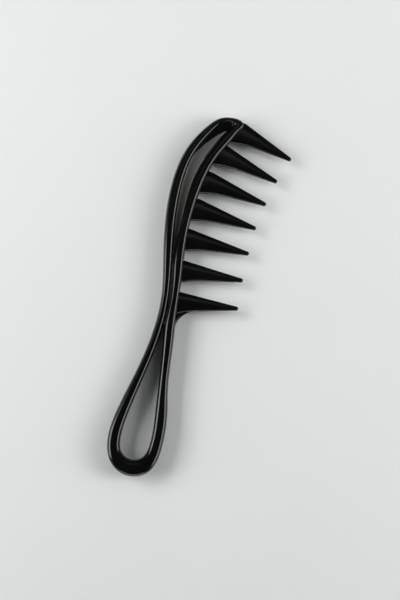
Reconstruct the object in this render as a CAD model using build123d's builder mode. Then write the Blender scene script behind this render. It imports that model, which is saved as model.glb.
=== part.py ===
from build123d import *

import os
from math import asin, degrees, sqrt

# Wide tooth comb, moulded in one piece: a rod bent into a loop handle, pinched at the waist and
# carried round a lens-shaped head, with seven broad teeth on the hollow side of the head.
# Millimetres. The comb lies flat on Z = 0, its length along Y with the head at +Y, its teeth towards
# +X. Each moulded feature is its own solid, and neighbours meet face to face.

# ---- driving dimensions ----
THICKNESS = 8.0  # of the rod that makes the loop and the rails
ROD_EDGE = 1.5  # radius on the rod's long edges
WEB_THICKNESS = 2.0  # the recessed web in the head
BRIDGE_THICKNESS = 4.8  # the web where the two rails run side by side
MID = THICKNESS / 2

LOOP_END_Y = 17.0  # the loop's round end stops here and its two arms begin
WAIST_Y = 88.0  # the arms close up here and run side by side
WEB_Y = 128.0  # they part here as two rails round the head's web
NOSE_Y = 199.5  # the rails stop here and the nose closes the head

# The rod's two sides, as pairs of facing points: (outer x, outer y, inner x, inner y).
ROD = [
    (-3.4, 0.0, -3.2, 9.5),
    (-13.9, 4.4, -9.5, 11.8),
    (-19.6, 18.5, -12.4, 20.0),
    (-18.8, 33.1, -12.0, 32.5),
    (-13.6, 59.1, -8.3, 58.3),
    (-10.0, 88.5, -5.4, 88.5),
    (-10.9, 105.0, -6.4, 105.0),
    (-14.2, 120.3, -9.1, 121.3),
    (-18.6, 139.8, -12.8, 140.8),
    (-21.3, 165.0, -15.2, 165.5),
    (-18.5, 186.6, -13.2, 185.0),
    (-10.1, 202.9, -6.4, 200.2),
    (-3.6, 209.3, -1.8, 206.3),
    (3.3, 211.0, 2.2, 207.7),
    (9.0, 210.0, 3.8, 207.0),
    (10.4, 207.0, 3.4, 205.6),
    (5.9, 199.2, 0.8, 201.8),
    (1.1, 190.9, -3.6, 193.2),
    (-2.4, 179.2, -8.5, 180.5),
    (-5.0, 161.2, -11.1, 161.9),
    (-5.3, 144.0, -10.6, 143.4),
    (-3.7, 128.0, -9.7, 126.9),
    (-1.9, 115.5, -7.3, 114.4),
    (-0.5, 103.5, -5.7, 102.9),
    (1.1, 90.0, -4.9, 89.0),
    (3.0, 77.0, -2.9, 76.2),
    (6.5, 53.0, 0.9, 52.0),
    (9.9, 38.5, 3.0, 37.4),
    (11.6, 22.0, 4.4, 21.5),
    (7.2, 4.4, 1.8, 11.8),
]

# Teeth from the head down: where the straight upper edge leaves the rail, and the tip's centre.
TEETH = [
    (11.0, 209.5, 39.4, 196.5),
    (3.0, 195.2, 35.0, 182.4),
    (-0.4, 178.2, 32.2, 168.3),
    (-3.3, 161.7, 30.2, 153.7),
    (-4.2, 144.1, 30.0, 138.8),
    (-3.2, 126.0, 30.6, 123.2),
    (-1.4, 108.2, 32.1, 107.1),
]
TOOTH_TIP_RADIUS = 1.25
TOOTH_ROOT_WIDTH = 11.9
TOOTH_ROOT_THICKNESS = 4.6
TOOTH_FLARE = 1.9  # how much the lower edge spreads as it runs into the rail
TOOTH_FLARE_LENGTH = 12.0
TOOTH_BURIED = 3.0  # a tooth is drawn from this far inside the rail, and trimmed back to it
TOOTH_DROOP = 0.12  # per mm squared, how the upper edge bends down behind the shoulder
TOOTH_SECTIONS = 8  # evenly spaced from inside the rail to the tip

# The gusset in the corner under the last tooth.
GUSSET_TOP = (12.6, 100.35)
GUSSET_HOLLOW = (4.0, 96.8)
GUSSET_FOOT = (1.2, 87.4)
GUSSET_CORNER = (-1.0, 102.0)  # inside the rail and the tooth
GUSSET_THICKNESS = 2.6


def closed_curve(points):
    """A smooth closed curve through the points, as a face."""
    with BuildSketch(Plane.XY) as sketch:
        with BuildLine():
            Spline(*points, periodic=True)
        make_face()
    return sketch


outer = closed_curve([(station[0], station[1]) for station in ROD])
inner = closed_curve([(station[2], station[3]) for station in ROD])

# ---- the whole rod, with its long edges rounded, before it is divided ----
with BuildPart() as rod:
    with BuildSketch(Plane.XY):
        add(outer.sketch)
        add(inner.sketch, mode=Mode.SUBTRACT)
    extrude(amount=THICKNESS)
    rims = rod.edges().group_by(Axis.Z)
    fillet(rims[0] + rims[-1], radius=ROD_EDGE)


def rod_between(y_low, y_high):
    """The rod's length between two cuts square to Y, as solids in order from -X to +X."""
    with BuildPart() as length:
        add(rod.part)
        split(bisect_by=Plane.XZ.offset(-y_low), keep=Keep.BOTTOM)
        split(bisect_by=Plane.XZ.offset(-y_high), keep=Keep.TOP)
    return length.solids().sort_by(Axis.X)


def plate_between(y_low, y_high, thickness):
    """A plate at mid height that fills the gap inside the rod between two cuts square to Y."""
    with BuildPart() as plate:
        with BuildSketch(Plane.XY.offset(MID - thickness / 2)):
            add(inner.sketch)
        extrude(amount=thickness)
        split(bisect_by=Plane.XZ.offset(-y_low), keep=Keep.BOTTOM)
        split(bisect_by=Plane.XZ.offset(-y_high), keep=Keep.TOP)
    return plate


def make_tooth(shoulder_x, shoulder_y, tip_x, tip_y):
    """A tooth lofted through ellipses square to its upper edge, closed by a round tip."""
    shoulder = Vector(shoulder_x, shoulder_y, MID)
    tip = Vector(tip_x, tip_y, MID)
    reach = (tip - shoulder).length
    run = sqrt(reach**2 - TOOTH_TIP_RADIUS**2)
    lift = degrees(asin(TOOTH_TIP_RADIUS / reach))
    along = (tip - shoulder).normalized().rotate(Axis.Z, lift)
    down = along.rotate(Axis.Z, -90)
    with BuildPart() as tooth:
        for section in range(TOOTH_SECTIONS):
            place = -TOOTH_BURIED + (run + TOOTH_BURIED) * section / (TOOTH_SECTIONS - 1)
            taper = max(place, 0) / run
            flare = TOOTH_FLARE * max(1 - place / TOOTH_FLARE_LENGTH, 0) ** 2
            width = TOOTH_ROOT_WIDTH + taper * (2 * TOOTH_TIP_RADIUS - TOOTH_ROOT_WIDTH) + flare
            thickness = TOOTH_ROOT_THICKNESS + taper * (2 * TOOTH_TIP_RADIUS - TOOTH_ROOT_THICKNESS)
            droop = TOOTH_DROOP * min(place, 0) ** 2
            centre = shoulder + along * place + down * (width / 2 + droop)
            with BuildSketch(Plane(origin=centre, x_dir=down, z_dir=along)):
                Ellipse(width / 2, thickness / 2)
        loft()
        with Locations(tip):
            Sphere(TOOTH_TIP_RADIUS)
        add(rod.part, mode=Mode.SUBTRACT)
    with BuildPart() as trimmed:
        add(tooth.solids().sort_by(SortBy.VOLUME)[-1])
    return trimmed


# ---- the loop handle ----
with BuildPart() as loop_end:
    add(rod_between(-1, LOOP_END_Y))

with BuildPart() as spine_side_arm:
    add(rod_between(LOOP_END_Y, WAIST_Y)[0])

with BuildPart() as tooth_side_arm:
    add(rod_between(LOOP_END_Y, WAIST_Y)[1])

# ---- the waist ----
with BuildPart() as spine_waist:
    add(rod_between(WAIST_Y, WEB_Y)[0])

with BuildPart() as tooth_waist:
    add(rod_between(WAIST_Y, WEB_Y)[1])

waist_bridge = plate_between(WAIST_Y, WEB_Y, BRIDGE_THICKNESS)

# ---- the head ----
with BuildPart() as spine_rail:
    add(rod_between(WEB_Y, NOSE_Y)[0])

with BuildPart() as tooth_rail:
    add(rod_between(WEB_Y, NOSE_Y)[1])

with BuildPart() as nose:
    add(rod_between(NOSE_Y, 2 * NOSE_Y))

head_web = plate_between(WEB_Y, 2 * NOSE_Y, WEB_THICKNESS)

# ---- the teeth ----
teeth = [make_tooth(*tooth) for tooth in TEETH]

with BuildPart() as heel_gusset:
    with BuildSketch(Plane.XY.offset(MID - GUSSET_THICKNESS / 2)):
        with BuildLine():
            ThreePointArc(GUSSET_TOP, GUSSET_HOLLOW, GUSSET_FOOT)
            Polyline(
                GUSSET_FOOT,
                (GUSSET_CORNER[0], GUSSET_FOOT[1]),
                GUSSET_CORNER,
                (GUSSET_TOP[0], GUSSET_CORNER[1]),
                GUSSET_TOP,
            )
        make_face()
    extrude(amount=GUSSET_THICKNESS)
    add(rod.part, mode=Mode.SUBTRACT)
    add(teeth[-1].part, mode=Mode.SUBTRACT)

# ---- one file for each piece, about the middle of the comb's footprint ----
pieces = {
    "loop_end": loop_end,
    "spine_side_arm": spine_side_arm,
    "tooth_side_arm": tooth_side_arm,
    "spine_waist": spine_waist,
    "tooth_waist": tooth_waist,
    "waist_bridge": waist_bridge,
    "spine_rail": spine_rail,
    "tooth_rail": tooth_rail,
    "nose": nose,
    "head_web": head_web,
    "heel_gusset": heel_gusset,
}
for number, tooth in enumerate(teeth, start=1):
    pieces[f"tooth_{number}"] = tooth

footprint = Compound([piece.part for piece in pieces.values()]).bounding_box()
to_origin = Location((-footprint.center().X, -footprint.center().Y, 0))

os.makedirs("parts", exist_ok=True)
for name, piece in pieces.items():
    part = piece.part.moved(to_origin)
    part.label = name
    export_step(part, f"parts/{name}.step")
print("origin in the drawing:", footprint.center(), "size:", footprint.size)
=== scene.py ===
import math

import bpy
import numpy as np
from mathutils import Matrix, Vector


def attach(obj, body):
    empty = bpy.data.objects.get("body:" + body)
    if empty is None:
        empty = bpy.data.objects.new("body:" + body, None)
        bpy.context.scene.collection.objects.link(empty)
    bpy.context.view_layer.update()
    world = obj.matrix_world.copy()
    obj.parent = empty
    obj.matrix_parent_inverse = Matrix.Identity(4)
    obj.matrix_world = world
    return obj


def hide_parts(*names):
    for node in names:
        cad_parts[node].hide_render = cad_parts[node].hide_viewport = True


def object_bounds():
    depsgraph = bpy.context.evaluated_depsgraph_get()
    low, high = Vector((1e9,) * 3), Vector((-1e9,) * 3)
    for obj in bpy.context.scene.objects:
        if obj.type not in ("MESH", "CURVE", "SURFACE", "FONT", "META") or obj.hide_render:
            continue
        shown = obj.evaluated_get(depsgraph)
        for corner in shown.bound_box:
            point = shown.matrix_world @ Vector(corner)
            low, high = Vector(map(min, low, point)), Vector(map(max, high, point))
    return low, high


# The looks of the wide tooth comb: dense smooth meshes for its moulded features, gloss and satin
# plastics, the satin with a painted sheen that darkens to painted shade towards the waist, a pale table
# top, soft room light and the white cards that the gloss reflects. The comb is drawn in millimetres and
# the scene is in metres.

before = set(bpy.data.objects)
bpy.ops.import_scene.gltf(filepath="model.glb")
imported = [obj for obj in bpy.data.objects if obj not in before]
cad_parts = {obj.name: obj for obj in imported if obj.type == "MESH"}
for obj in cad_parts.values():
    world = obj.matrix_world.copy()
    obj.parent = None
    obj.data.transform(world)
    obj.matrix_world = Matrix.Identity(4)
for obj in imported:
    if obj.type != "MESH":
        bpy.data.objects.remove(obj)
cad_low, cad_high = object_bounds()

# ---- the comb's drawing, as in the CAD source, in millimetres ----
MM = 0.001
DRAWING_ORIGIN = np.array([9.674, 105.553])  # the frame's origin, in the drawing
THICKNESS = (cad_high[2] - cad_low[2]) / MM
MID = THICKNESS / 2

# The rod's two sides, as pairs of facing points: (outer x, outer y, inner x, inner y). They follow
# the CAD source, but run straighter where the first tooth leaves the nose.
ROD = np.array([
    (-3.4, 0.0, -3.2, 9.5),
    (-13.9, 4.4, -9.5, 11.8),
    (-19.6, 18.5, -12.4, 20.0),
    (-18.8, 33.1, -12.0, 32.5),
    (-13.6, 59.1, -8.3, 58.3),
    (-10.0, 88.5, -5.4, 88.5),
    (-10.9, 105.0, -6.4, 105.0),
    (-14.2, 120.3, -9.1, 121.3),
    (-18.6, 139.8, -12.8, 140.8),
    (-21.3, 165.0, -15.2, 165.5),
    (-18.5, 186.6, -13.2, 185.0),
    (-10.1, 202.9, -6.4, 200.2),
    (-3.6, 209.3, -1.8, 206.3),
    (3.3, 211.0, 2.2, 207.7),
    (9.0, 209.8, 3.8, 207.0),
    (10.2, 208.1, 3.4, 205.6),
    (8.5, 204.6, 2.4, 203.9),
    (5.9, 199.2, 0.8, 201.8),
    (1.7, 190.9, -3.6, 193.2),
    (-2.4, 179.2, -8.5, 180.5),
    (-5.0, 161.2, -11.1, 161.9),
    (-5.3, 144.0, -10.6, 143.4),
    (-3.7, 128.0, -9.7, 126.9),
    (-1.9, 115.5, -7.3, 114.4),
    (-0.5, 103.5, -5.7, 102.9),
    (1.1, 90.0, -4.9, 89.0),
    (3.0, 77.0, -2.9, 76.2),
    (6.5, 53.0, 0.9, 52.0),
    (9.9, 38.5, 3.0, 37.4),
    (11.6, 22.0, 4.4, 21.5),
    (7.2, 4.4, 1.8, 11.8),
])
LOOP_END_Y, WAIST_Y, WEB_Y, NOSE_Y = 17.0, 88.0, 128.0, 199.5  # where the rod is cut into nodes
ROD_CAP = 3.3  # the width over which each side rounds off
ROD_SQUARENESS = 2.6  # of the rounding: 2 is an ellipse, and more is squarer
SEAM_HEIGHT = 0.05  # the mould's parting line round the rod
SEAM_HALF_WIDTH = 0.1
ROD_RING = 56  # points round a ring of the mesh, before those of the parting line
ROD_STEP = 0.7  # between two rings
ROD_LEAST_STEPS = 6  # between two of the drawing's points

# Teeth from the head down: where the straight upper edge leaves the rail, and the tip's centre.
TEETH = [
    (11.0, 209.5, 39.4, 196.5),
    (3.0, 195.2, 35.0, 182.4),
    (-0.4, 178.2, 32.2, 168.3),
    (-3.3, 161.7, 30.2, 153.7),
    (-4.2, 144.1, 30.0, 138.8),
    (-3.2, 126.0, 30.6, 123.2),
    (-1.4, 108.2, 32.1, 107.1),
]
TOOTH_TIP_RADIUS = 1.24
TOOTH_ROOT_WIDTH = 11.9
TOOTH_ROOT_THICKNESS = 4.6
TOOTH_FLARE = 1.9  # how much the lower edge spreads as it runs into the rail
TOOTH_FLARE_LENGTH = 12.0
TOOTH_BURIED = 2.6  # how far the tooth runs on inside the rail
TOOTH_DROOP = 0.12  # per mm squared, how the upper edge bends down behind the shoulder
TOOTH_SQUARENESS = 2.8
TOOTH_RING = 40  # points round a ring of the mesh
TOOTH_STEP = 0.6  # between two rings
TOOTH_TIP_RINGS = 8  # over the round tip

WEB_THICKNESS = 2.0
BRIDGE_THICKNESS = 4.8  # the web where the two rails run side by side
THINNING_LOW_Y, THINNING_LENGTH = 122.0, 16.0  # where the bridge thins down to the web
WEB_END_Y = 208.0  # inside the nose
WEB_TUCK = 0.9  # how far the web runs in under the rails
WEB_BELOW_RIM = 0.8  # at its thickest the web stays this far below the rod's top
FILLET = 0.25  # where the web meets the rails
RAMP_LOW_Y, RAMP_HIGH_Y = 180.0, 206.0  # the ramp from the web up to the spine side of the nose
RAMP_REACH = 6.0
RAMP_SLOPE = 0.36
PAINTED_SHEEN_LOW_Y, PAINTED_SHEEN_HIGH_Y = 118.0, 178.0  # the satin's painted sheen fades in between these, from painted shade at the waist
SATIN_RAMP_RISE = 0.08  # where the ramp has risen by this much, the gloss begins and the satin's painted sheen ends
WEB_COLUMNS = 30  # of the mesh, from rail to rail
WEB_STEP = 0.6  # between two of its rows
WALL_POINTS = 6000  # round the rod's inner side, to measure the web from
WALL_END = 0.05  # rows past the end of the walls are as wide as the gap this far below it

# The gusset in the corner under the last tooth, a little larger than in the CAD source. Its free edge
# is an arc from the top to the foot.
GUSSET_TOP = np.array([14.2, 100.8])
GUSSET_HOLLOW = np.array([4.7, 96.3])
GUSSET_FOOT = np.array([1.3, 86.2])
GUSSET_CORNER = np.array([-1.0, 102.0])  # inside the rail and the tooth
GUSSET_TOP_TUCK = np.array([0, 1.5])  # from the arc's top into the tooth
GUSSET_FOOT_TUCK = np.array([-2.0, 0])  # from the arc's foot into the rail
GUSSET_THICKNESS = 2.6
GUSSET_ROWS = 60
GUSSET_COLUMNS = 14


def smooth_step(x):
    """0 below 0, 1 above 1, and an even S between."""
    x = np.clip(x, 0, 1)
    return x * x * (3 - 2 * x)


def closed_spline(points):
    """A closed curve of even curvature through the points, as a function of the point number."""
    p = np.asarray(points, float)
    count = len(p)
    chord = np.linalg.norm(np.roll(p, -1, axis=0) - p, axis=1)
    matrix = np.zeros((count, count))
    right = np.zeros((count, 2))
    for i in range(count):
        before, after = chord[i - 1], chord[i]
        following = (i + 1) % count
        matrix[i, i - 1] += 1 / before
        matrix[i, i] += 2 / before + 2 / after
        matrix[i, following] += 1 / after
        right[i] = 3 * ((p[i] - p[i - 1]) / before**2 + (p[following] - p[i]) / after**2)
    slope = np.linalg.solve(matrix, right)

    def at(number):
        i = np.floor(number).astype(int) % count
        j = (i + 1) % count
        f = (number - np.floor(number))[:, None]
        h = chord[i][:, None]
        return (
            (2 * f**3 - 3 * f**2 + 1) * p[i]
            + (f**3 - 2 * f**2 + f) * h * slope[i]
            + (3 * f**2 - 2 * f**3) * p[j]
            + (f**3 - f**2) * h * slope[j]
        )

    return at


FINE_RING = 4001  # points of the superellipse that the mesh's points are picked from
TURN_SHARE = 0.4  # how much length a radian of turn counts for, so that tight turns get more points


def superellipse(count, squareness):
    """Points on a unit superellipse, anticlockwise from +X, shared over its length and its turns."""
    angle = np.linspace(0, 2 * math.pi, FINE_RING)
    c, s = np.cos(angle), np.sin(angle)
    x = np.sign(c) * np.abs(c) ** (2 / squareness)
    y = np.sign(s) * np.abs(s) ** (2 / squareness)
    step = np.hypot(np.diff(x), np.diff(y))
    turn = np.abs(np.diff(np.unwrap(np.arctan2(np.diff(y), np.diff(x))), append=0))
    turn[-1] = 0
    share = np.concatenate([[0], np.cumsum(step + TURN_SHARE * turn)])
    wanted = np.linspace(0, share[-1], count, endpoint=False)
    return np.stack([np.interp(wanted, share, x), np.interp(wanted, share, y)], axis=1)


TINY = 1e-12  # keeps a normal of no length from dividing by zero


def grid_normals(grid, wrap_rows):
    """Outward normals of a grid of rings, rows along the body and columns round it."""
    along = np.gradient(grid, axis=0)
    if wrap_rows:
        along = (np.roll(grid, -1, axis=0) - np.roll(grid, 1, axis=0)) / 2
    around = (np.roll(grid, -1, axis=1) - np.roll(grid, 1, axis=1)) / 2
    normal = np.cross(around, along)
    length = np.linalg.norm(normal, axis=2, keepdims=True)
    return normal / np.maximum(length, TINY)


def end_normal(ring):
    """The direction that a flat end faces, from its points in order."""
    spokes = ring - ring.mean(axis=0)
    facing = np.cross(spokes, np.roll(spokes, -1, axis=0)).sum(axis=0)
    return facing / np.linalg.norm(facing)


def tube(name, grid, normals, node):
    """A closed body from a grid of rings, smooth but for its flat ends. It replaces a node."""
    rows, columns = grid.shape[:2]
    points = grid.reshape(-1, 3)
    point_normals = normals.reshape(-1, 3)
    faces = []
    for start in range(0, (rows - 1) * columns, columns):
        for c in range(columns):
            d = (c + 1) % columns
            faces.append((start + c, start + d, start + columns + d, start + columns + c))
    loops = [point_normals[v] for face in faces for v in face]
    first = list(reversed(range(columns)))
    last = list(range((rows - 1) * columns, rows * columns))
    for end in (first, last):
        faces.append(end)
        loops += [end_normal(points[end])] * columns
    mesh = bpy.data.meshes.new(name)
    mesh.from_pydata(((points - [*DRAWING_ORIGIN, 0]) * MM).tolist(), [], faces)
    for polygon in mesh.polygons:
        polygon.use_smooth = True
    mesh.normals_split_custom_set([tuple(n) for n in loops])
    piece = bpy.data.objects.new(name, mesh)
    bpy.context.scene.collection.objects.link(piece)
    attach(piece, "root")
    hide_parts(node)
    return piece


def both_sides(points, half):
    """The upper and lower surface of a plate about mid height, from its plan and half thickness."""
    upper = np.concatenate([points, (MID + half)[:, :, None]], axis=2)
    lower = np.concatenate([points, (MID - half)[:, :, None]], axis=2)
    return upper, lower


# ---- the rod: one ring of the mesh at each station round the loop, the rails and the nose ----
outer_side = closed_spline(ROD[:, :2])
inner_side = closed_spline(ROD[:, 2:])


def rod_stations():
    """Point numbers round the rod, about ROD_STEP apart on its outer side."""
    numbers = []
    for i in range(len(ROD)):
        length = np.linalg.norm(ROD[(i + 1) % len(ROD), :2] - ROD[i, :2])
        steps = max(math.ceil(length / ROD_STEP), ROD_LEAST_STEPS)
        numbers += [i + k / steps for k in range(steps)]
    return np.array(numbers)


SEAM = SEAM_HALF_WIDTH / MID  # the parting line's half width on the unit cross-section
SEAM_FOOT = 1.6 * SEAM  # its sides slope down to here
SEAM_CLEAR = 2.2 * SEAM  # the ring's own points keep this far from mid height


def rod_section():
    """The rod's unit cross-section, with extra points for the parting line at mid height."""
    ring = superellipse(ROD_RING, ROD_SQUARENESS)
    ring = ring[np.abs(ring[:, 1]) > SEAM_CLEAR]
    seam_points = [(side, z) for side in (1, -1) for z in (-SEAM_FOOT, -SEAM, 0, SEAM, SEAM_FOOT)]
    ring = np.concatenate([ring, seam_points])
    return ring[np.argsort(np.arctan2(ring[:, 1], ring[:, 0]))]


NEARBY = 0.01  # in point numbers, to find which way a side runs
LEAST_RIGHT_ANGLE = 0.5  # limits how much wider the rounding gets on a slanting line across the rod


def right_angle(side, numbers, across):
    """How squarely the line across the rod leaves one of its sides: 1 is at a right angle."""
    along = side(numbers + NEARBY) - side(numbers - NEARBY)
    along /= np.linalg.norm(along, axis=1)[:, None]
    return np.abs(across[:, 0] * along[:, 1] - across[:, 1] * along[:, 0])


def rod_grid(numbers):
    """The rod's surface: both sides rounded over the same width, and flat between where it is wider."""
    outside, inside = outer_side(numbers), inner_side(numbers)
    width = np.linalg.norm(outside - inside, axis=1)
    across = (outside - inside) / width[:, None]
    section = rod_section()
    proud = SEAM_HEIGHT * (np.abs(section[:, 1]) < (SEAM + SEAM_FOOT) / 2)
    grid = np.zeros((len(numbers), len(section), 3))
    grid[:, :, 2] = MID + MID * section[None, :, 1]
    for side, start, sign in ((outer_side, outside, 1), (inner_side, inside, -1)):
        square = np.maximum(right_angle(side, numbers, across), LEAST_RIGHT_ANGLE)
        cap = np.minimum(ROD_CAP / square, width / 2)
        own = section[:, 0] * sign >= 0
        back = cap[:, None] * (1 - np.abs(section[None, own, 0])) + SEAM_HEIGHT - proud[None, own]
        grid[:, own, :2] = start[:, None, :] - sign * across[:, None, :] * back[:, :, None]
    return grid


def make_rod():
    """The loop end, the two arms, the two rails and the nose, cut from one continuous surface."""
    numbers = rod_stations()
    grid = rod_grid(numbers)
    normals = grid_normals(grid, wrap_rows=True)
    height = (outer_side(numbers) + inner_side(numbers))[:, 1] / 2
    top = int(np.argmax(height))

    def cut(y, rising):
        side = np.arange(0, top) if rising else np.arange(top, len(numbers))
        return int(side[np.argmin(np.abs(height[side] - y))])

    up = [cut(y, True) for y in (LOOP_END_Y, WAIST_Y, WEB_Y, NOSE_Y)]
    down = [cut(y, False) for y in (NOSE_Y, WEB_Y, WAIST_Y, LOOP_END_Y)]
    nodes = ["spine_side_arm", "spine_waist", "spine_rail", "nose"]
    nodes += ["tooth_rail", "tooth_waist", "tooth_side_arm", "loop_end"]
    cuts = up + down + [up[0] + len(numbers)]
    spans = {node: cuts[i : i + 2] for i, node in enumerate(nodes)}
    made = []
    for node, (start, stop) in spans.items():
        rows = np.arange(start, stop + 1) % len(numbers)
        made.append(tube(node + "_moulding", grid[rows], normals[rows], node))
    return made


# ---- the web between the rails ----
def inner_walls():
    """The rod's inner side in two walls, spine side and tooth side, from the loop's end to the nose."""
    walls = inner_side(np.linspace(0, len(ROD), WALL_POINTS, endpoint=False))
    walls = np.roll(walls, -int(np.argmin(walls[:, 1])), axis=0)
    top = int(np.argmax(walls[:, 1]))
    return walls[: top + 1], walls[top:][::-1]


def distance_to(wall, points):
    """How far each point of a grid lies from a wall."""
    return np.array([np.linalg.norm(wall[None] - row[:, None], axis=2).min(axis=1) for row in points])


def web_points(y_low, y_high):
    """A grid of points across the gap in the rod, and how far each is from each wall, 0 under a rail."""
    spine_wall, tooth_wall = inner_walls()
    rows = int((y_high - y_low) / WEB_STEP) + 1
    y = np.linspace(y_low, y_high, rows)
    y_wall = np.minimum(y, spine_wall[-1, 1] - WALL_END)
    spine_x = np.interp(y_wall, spine_wall[:, 1], spine_wall[:, 0])
    tooth_x = np.interp(y_wall, tooth_wall[:, 1], tooth_wall[:, 0])
    low_x, high_x = spine_x - WEB_TUCK, tooth_x + WEB_TUCK
    share = (1 - np.cos(np.linspace(0, math.pi, WEB_COLUMNS))) / 2
    x = low_x[:, None] + (high_x - low_x)[:, None] * share
    points = np.stack([x, np.repeat(y[:, None], WEB_COLUMNS, axis=1)], axis=2)
    outside = (x < spine_x[:, None]) | (x > tooth_x[:, None])
    from_spine = np.where(outside, 0, distance_to(spine_wall, points))
    from_tooth = np.where(outside, 0, distance_to(tooth_wall, points))
    return points, from_spine, from_tooth


def plate(name, y_low, y_high, node):
    """A stretch of the web: thick at the waist, thin in the head, with a ramp up to the nose.

    Also says which of its mesh points are on the flat and not on the ramp.
    """
    points, from_spine, from_tooth = web_points(y_low, y_high)
    y = points[:, :, 1]
    to_nose = np.clip((y - RAMP_LOW_Y) / (RAMP_HIGH_Y - RAMP_LOW_Y), 0, 1) ** 2
    ramp = RAMP_SLOPE * (RAMP_REACH * to_nose - from_spine)
    near = np.minimum(from_spine, from_tooth)
    rise = np.maximum(FILLET * np.maximum(1 - near / FILLET, 0) ** 2, ramp)
    to_web = smooth_step((y - THINNING_LOW_Y) / THINNING_LENGTH)
    half = (BRIDGE_THICKNESS + (WEB_THICKNESS - BRIDGE_THICKNESS) * to_web) / 2
    upper, lower = both_sides(points, np.minimum(half + rise, MID - WEB_BELOW_RIM))
    grid = np.concatenate([lower, upper[:, ::-1]], axis=1)[:, ::-1]
    piece = tube(name, grid, grid_normals(grid, wrap_rows=False), node)
    flat = ramp < SATIN_RAMP_RISE
    flat = np.concatenate([flat, flat[:, ::-1]], axis=1)[:, ::-1]
    return piece, flat.ravel()


# ---- the teeth ----
def tooth_rings(run):
    """Where a tooth's rings stand along its upper edge, their sizes, and their centres' way below it."""
    places = np.arange(-TOOTH_BURIED, run, TOOTH_STEP)
    taper = np.maximum(places, 0) / run
    flare = TOOTH_FLARE * np.maximum(1 - places / TOOTH_FLARE_LENGTH, 0) ** 2
    width = TOOTH_ROOT_WIDTH + taper * (2 * TOOTH_TIP_RADIUS - TOOTH_ROOT_WIDTH) + flare
    thick = TOOTH_ROOT_THICKNESS + taper * (2 * TOOTH_TIP_RADIUS - TOOTH_ROOT_THICKNESS)
    turn = np.linspace(0, math.pi / 2, TOOTH_TIP_RINGS, endpoint=False)
    places = np.concatenate([places, run + TOOTH_TIP_RADIUS * np.sin(turn)])
    width = np.concatenate([width, 2 * TOOTH_TIP_RADIUS * np.cos(turn)])
    thick = np.concatenate([thick, 2 * TOOTH_TIP_RADIUS * np.cos(turn)])
    below = np.where(places < run, width / 2, TOOTH_TIP_RADIUS)
    below += TOOTH_DROOP * np.minimum(places, 0) ** 2
    return places, width, thick, below


def make_tooth(number, shoulder_x, shoulder_y, tip_x, tip_y):
    """A blade that tapers in width and thickness to a round tip and flares where it meets the rail."""
    shoulder, tip = np.array([shoulder_x, shoulder_y]), np.array([tip_x, tip_y])
    reach = np.linalg.norm(tip - shoulder)
    run = math.sqrt(reach**2 - TOOTH_TIP_RADIUS**2)
    heading = math.atan2(*(tip - shoulder)[::-1]) + math.asin(TOOTH_TIP_RADIUS / reach)
    along = np.array([math.cos(heading), math.sin(heading)])
    down = np.array([along[1], -along[0]])
    places, width, thick, below = tooth_rings(run)
    centre = shoulder + along * places[:, None] + down * below[:, None]
    section = superellipse(TOOTH_RING, TOOTH_SQUARENESS)
    grid = np.zeros((len(places), len(section), 3))
    grid[:, :, :2] = centre[:, None, :] + down * (section[None, :, :1] * (width / 2)[:, None, None])
    grid[:, :, 2] = MID + section[None, :, 1] * (thick / 2)[:, None]
    grid = grid[:, ::-1]
    name = f"tooth_{number}"
    return tube(name + "_moulding", grid, grid_normals(grid, wrap_rows=False), name)


# ---- the gusset under the last tooth ----
def gusset_arc():
    """The gusset's free edge, from its top to its foot."""
    chord = GUSSET_FOOT - GUSSET_TOP
    middle = (GUSSET_TOP + GUSSET_FOOT) / 2
    sag = np.linalg.norm(GUSSET_HOLLOW - middle)
    radius = (np.dot(chord, chord) / 4 + sag**2) / (2 * sag)
    centre = GUSSET_HOLLOW - (GUSSET_HOLLOW - middle) / sag * radius
    start = math.atan2(*(GUSSET_TOP - centre)[::-1])
    stop = math.atan2(*(GUSSET_FOOT - centre)[::-1])
    stop = stop if stop > start else stop + 2 * math.pi
    angle = np.linspace(start, stop, GUSSET_ROWS)
    return centre + radius * np.stack([np.cos(angle), np.sin(angle)], axis=1)


def gusset_back():
    """Its hidden edge, from inside the tooth by way of the corner to inside the rail."""
    in_tooth, in_rail = GUSSET_TOP + GUSSET_TOP_TUCK, GUSSET_FOOT + GUSSET_FOOT_TUCK
    share = np.linspace(0, 1, GUSSET_ROWS)[:, None]
    return np.where(
        share < 0.5,
        in_tooth + (GUSSET_CORNER - in_tooth) * 2 * share,
        GUSSET_CORNER + (in_rail - GUSSET_CORNER) * (2 * share - 1),
    )


def make_gusset():
    """A thin curved web in the corner between the last tooth and the rail, with a rounded free edge."""
    arc, back = gusset_arc(), gusset_back()
    depth = np.linspace(0, 1, GUSSET_COLUMNS) ** 2
    reach = np.linalg.norm(back - arc, axis=1)[:, None] * depth
    rounded = np.sqrt(1 - np.clip(1 - reach / (GUSSET_THICKNESS / 2), 0, 1) ** 2)
    across = arc[:, None] + (back - arc)[:, None] * depth[None, :, None]
    upper, lower = both_sides(across, rounded * GUSSET_THICKNESS / 2)
    grid = np.concatenate([lower[:, ::-1], upper[:, 1:]], axis=1)
    return tube("heel_gusset_moulding", grid, grid_normals(grid, wrap_rows=False), "heel_gusset")


# ---- materials ----
PLASTIC_IOR = 1.5
GLOSS_COLOURS = (0.0016, 0.0015, 0.0013, 1), (0.004, 0.0037, 0.0033, 1)
# The satin's grey colours are a painted sheen on black plastic, not the plastic's own colour.
SATIN_PAINTED_SHEEN_COLOURS = (0.14, 0.136, 0.13, 1), (0.185, 0.18, 0.172, 1)
PAINTED_SHADE_WAIST_COLOUR = (0.003, 0.003, 0.003, 1)  # painted shade, where the web's gap narrows towards the waist
TABLE_COLOURS = (0.785, 0.81, 0.805, 1), (0.815, 0.84, 0.835, 1)


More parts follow.
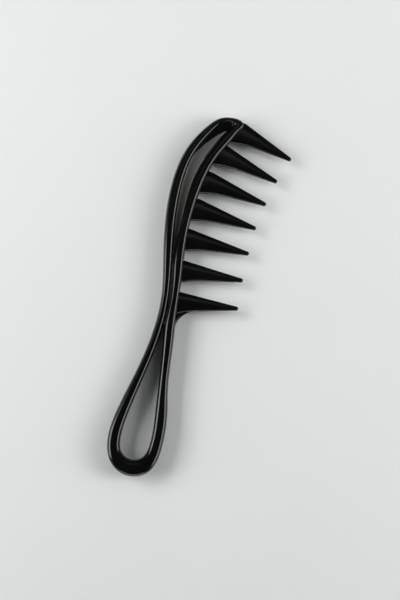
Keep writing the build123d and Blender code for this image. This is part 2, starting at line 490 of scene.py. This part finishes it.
class Recipe:
    """A node material under construction, with its shader and the comb's own coordinates."""

    def __init__(self, name):
        self.material = bpy.data.materials.new(name)
        self.material.use_nodes = True
        self.nodes = self.material.node_tree.nodes
        self.link = self.material.node_tree.links.new
        self.shader = self.nodes["Principled BSDF"]
        self.place = self.nodes.new("ShaderNodeTexCoord")

    def noise(self, scale, detail=2):
        """A fine grain, from 0 to 1."""
        node = self.nodes.new("ShaderNodeTexNoise")
        node.inputs["Scale"].default_value = scale
        node.inputs["Detail"].default_value = detail
        self.link(self.place.outputs["Object"], node.inputs["Vector"])
        return node.outputs["Fac"]

    def tint(self, grain, colours, span=(0, 1)):
        """A colour between two, by the grain."""
        node = self.nodes.new("ShaderNodeValToRGB")
        for stop, colour, position in zip(node.color_ramp.elements, colours, span):
            stop.position = position
            stop.color = colour
        self.link(grain, node.inputs["Fac"])
        return node.outputs["Color"]

    def bump(self, grain, strength, distance):
        """Small bumps by the grain, up to a distance in metres."""
        node = self.nodes.new("ShaderNodeBump")
        node.inputs["Strength"].default_value = strength
        node.inputs["Distance"].default_value = distance
        self.link(grain, node.inputs["Height"])
        self.link(node.outputs["Normal"], self.shader.inputs["Normal"])


def polished_plastic():
    """Gloss black moulded plastic: deep black with faint flow marks, uneven polish and a soft ripple."""
    recipe = Recipe("gloss_black_plastic")
    recipe.shader.inputs["IOR"].default_value = PLASTIC_IOR
    flow_colour = recipe.tint(recipe.noise(scale=60, detail=6), GLOSS_COLOURS, span=(0.35, 0.75))
    recipe.link(flow_colour, recipe.shader.inputs["Base Color"])
    fine = recipe.noise(scale=900, detail=4)
    rough = recipe.nodes.new("ShaderNodeMapRange")
    rough.inputs["To Min"].default_value = 0.1
    rough.inputs["To Max"].default_value = 0.2
    recipe.link(fine, rough.inputs["Value"])
    recipe.link(rough.outputs["Result"], recipe.shader.inputs["Roughness"])
    recipe.bump(fine, strength=0.12, distance=0.0001)
    return recipe.material


def satin_plastic():
    """The same black plastic with the mould's fine satin texture, its grey colour a painted sheen that
    darkens to painted shade towards the waist.
    """
    recipe = Recipe("satin_black_plastic_painted_sheen")
    recipe.shader.inputs["IOR"].default_value = PLASTIC_IOR
    recipe.shader.inputs["Roughness"].default_value = 0.42
    grain = recipe.noise(scale=2600, detail=3)
    # Painted shade: the sheen colour darkens to black towards the waist, where the rails close in on the
    # web.
    along = recipe.nodes.new("ShaderNodeSeparateXYZ")
    recipe.link(recipe.place.outputs["Object"], along.inputs["Vector"])
    fade = recipe.nodes.new("ShaderNodeMapRange")
    fade.inputs["From Min"].default_value = (PAINTED_SHEEN_LOW_Y - DRAWING_ORIGIN[1]) * MM
    fade.inputs["From Max"].default_value = (PAINTED_SHEEN_HIGH_Y - DRAWING_ORIGIN[1]) * MM
    recipe.link(along.outputs["Y"], fade.inputs["Value"])
    shade = recipe.nodes.new("ShaderNodeMix")
    shade.data_type = "RGBA"
    shade.inputs["A"].default_value = PAINTED_SHADE_WAIST_COLOUR
    recipe.link(fade.outputs["Result"], shade.inputs["Factor"])
    recipe.link(recipe.tint(grain, SATIN_PAINTED_SHEEN_COLOURS), shade.inputs["B"])
    recipe.link(shade.outputs["Result"], recipe.shader.inputs["Base Color"])
    recipe.bump(grain, strength=0.35, distance=0.00006)
    return recipe.material


def table_top():
    """A pale matt board."""
    recipe = Recipe("pale_board")
    recipe.shader.inputs["Roughness"].default_value = 0.7
    mottle = recipe.tint(recipe.noise(scale=9), TABLE_COLOURS)
    recipe.link(mottle, recipe.shader.inputs["Base Color"])
    return recipe.material


# ---- the pieces ----
gloss = polished_plastic()
satin = satin_plastic()
polished_pieces = make_rod()
bridge, _ = plate("waist_bridge_moulding", WAIST_Y, WEB_Y, "waist_bridge")
polished_pieces.append(bridge)
polished_pieces.append(make_gusset())
for number, tooth in enumerate(TEETH, start=1):
    polished_pieces.append(make_tooth(number, *tooth))
for piece in polished_pieces:
    piece.data.materials.append(gloss)
web, flat = plate("head_web_moulding", WEB_Y, WEB_END_Y, "head_web")
web.data.materials.append(satin)
web.data.materials.append(gloss)
# The web's flat takes the satin with its painted sheen; the ramp up to the nose stays plain gloss black.
for polygon in web.data.polygons:
    polygon.material_index = 0 if all(flat[list(polygon.vertices)]) else 1


# ---- the table, the camera and the light, in metres ----
TABLE_REACH = 2.0
TABLE_GAP = 0.0001  # keeps the table just clear of the comb

PICTURE_TURN = math.radians(14.83)  # the comb lies turned by this much in the picture
PICTURE_LENGTH = 0.3396  # what the long side of the picture spans at the comb's middle
PICTURE_CENTRE = (0.001375, 0.00105)  # the camera stands above it
CAMERA_HEIGHT = 0.9
SENSOR = 36.0  # millimetres, as the lens is

# The room's light on the table comes in low from both sides, and hardly at all from overhead. The
# gloss doesn't show these lamps.
ROOM_LAMP_DISTANCE = 1.3
ROOM_LAMP_SIZE = (0.65, 0.5)
ROOM_LAMPS = [  # (azimuth, elevation, strength)
    (0, 14, 6.1),
    (0, 27, 6.4),
    (30, 27, 2.7),
    (30, 45, 1.9),
    (90, 14, 2.5),
    (150, 27, 10.4),
    (180, 14, 6.8),
    (180, 30, 3.6),
]
# What the gloss shows instead: white cards beside the comb, below its loop and beyond its head. They
# put no light on the table.
CARDS = [  # (name, azimuth, elevation, distance, size, strength)
    ("right_card", -20, 23, 1.0, (0.9, 0.5), 4.7),
    ("left_card", 190, 28, 0.6, (0.36, 0.36), 6.0),
    ("south_card", 262, 14, 0.8, (0.7, 0.16), 5.0),
    ("top_card", 90, 75, 1.34, (0.5, 0.32), 0.28),
]


def make_floor():
    """A wide flat table top just under the comb."""
    mesh = bpy.data.meshes.new("table_top")
    height = cad_low[2] - TABLE_GAP
    corners = [(-1, -1), (1, -1), (1, 1), (-1, 1)]
    points = [(x * TABLE_REACH, y * TABLE_REACH, height) for x, y in corners]
    mesh.from_pydata(points, [], [(0, 1, 2, 3)])
    mesh.materials.append(table_top())
    floor = bpy.data.objects.new("table_top", mesh)
    bpy.context.scene.collection.objects.link(floor)


def make_camera():
    """Straight above the table, looking down."""
    data = bpy.data.cameras.new("camera")
    camera = bpy.data.objects.new("camera", data)
    bpy.context.scene.collection.objects.link(camera)
    data.sensor_width = SENSOR
    data.lens = SENSOR * (CAMERA_HEIGHT - MID * MM) / PICTURE_LENGTH
    camera.location = (*PICTURE_CENTRE, CAMERA_HEIGHT)
    camera.rotation_euler = (0, 0, PICTURE_TURN)
    bpy.context.scene.camera = camera


def make_world():
    """A dim even room."""
    world = bpy.data.worlds.new("room")
    world.use_nodes = True
    background = world.node_tree.nodes["Background"]
    background.inputs["Color"].default_value = (0.9, 0.95, 1.0, 1)
    background.inputs["Strength"].default_value = 0.03
    bpy.context.scene.world = world


def softbox(name, azimuth, elevation, distance, size, strength):
    """A soft light aimed at the comb. Azimuth is from the picture's right, anticlockwise."""
    lamp = bpy.data.lights.new(name, "AREA")
    lamp.shape = "RECTANGLE"
    lamp.size, lamp.size_y = size
    lamp.energy = strength * math.pi * size[0] * size[1]
    light = bpy.data.objects.new(name, lamp)
    bpy.context.scene.collection.objects.link(light)
    turn, lift = math.radians(azimuth) + PICTURE_TURN, math.radians(elevation)
    away = Vector((math.cos(turn) * math.cos(lift), math.sin(turn) * math.cos(lift), math.sin(lift)))
    light.location = away * distance
    light.rotation_euler = away.to_track_quat("Z", "Y").to_euler()
    return light


make_floor()
make_camera()
make_world()
for azimuth, elevation, strength in ROOM_LAMPS:
    name = f"room_lamp_{azimuth}_{elevation}"
    lamp = softbox(name, azimuth, elevation, ROOM_LAMP_DISTANCE, ROOM_LAMP_SIZE, strength)
    lamp.visible_glossy = False
for card in CARDS:
    softbox(*card).visible_diffuse = False

bpy.context.scene.view_settings.view_transform = "Standard"
